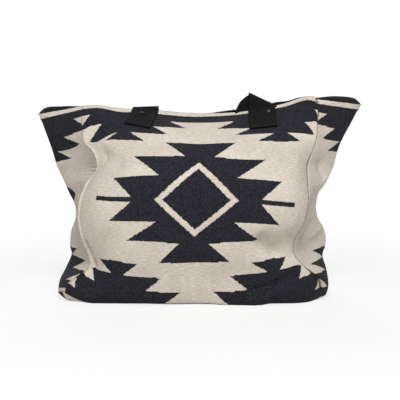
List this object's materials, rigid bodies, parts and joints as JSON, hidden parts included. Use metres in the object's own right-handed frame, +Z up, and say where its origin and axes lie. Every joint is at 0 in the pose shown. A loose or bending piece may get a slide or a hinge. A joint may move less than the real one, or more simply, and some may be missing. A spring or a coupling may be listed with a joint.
{
  "type": "tote bag",
  "caption": "Soft cotton tote bag in cream and black with a serrated diamond weave, standing on its base, with flat webbing handles dropped into the mouth.",
  "frame": {"origin": "middle of the flat base, on the surface that the bag stands on", "axes": "+X along the bag's width, to the right seen from the front; +Y from the front to the back; +Z up through the mouth"},
  "size_m": [0.47, 0.23, 0.2938],
  "materials": {
    "patterned_cotton": "jacquard weave, matt",
    "lining_cotton": "plain weave, matt",
    "webbing": "flat woven webbing, matt",
    "rivet_metal": "dark plated, satin"
  },
  "bodies": {
    "root": {"body_panel": "patterned_cotton", "right_gusset": "patterned_cotton", "left_gusset": "patterned_cotton", "body_lining": "lining_cotton", "right_gusset_lining": "lining_cotton", "left_gusset_lining": "lining_cotton", "front_handle": "webbing", "back_handle": "webbing", "front_left_rivet_cap": "rivet_metal", "front_left_rivet_post": "rivet_metal", "front_right_rivet_cap": "rivet_metal", "front_right_rivet_post": "rivet_metal", "back_left_rivet_cap": "rivet_metal", "back_left_rivet_post": "rivet_metal", "back_right_rivet_cap": "rivet_metal", "back_right_rivet_post": "rivet_metal"}
  },
  "joints": []
}
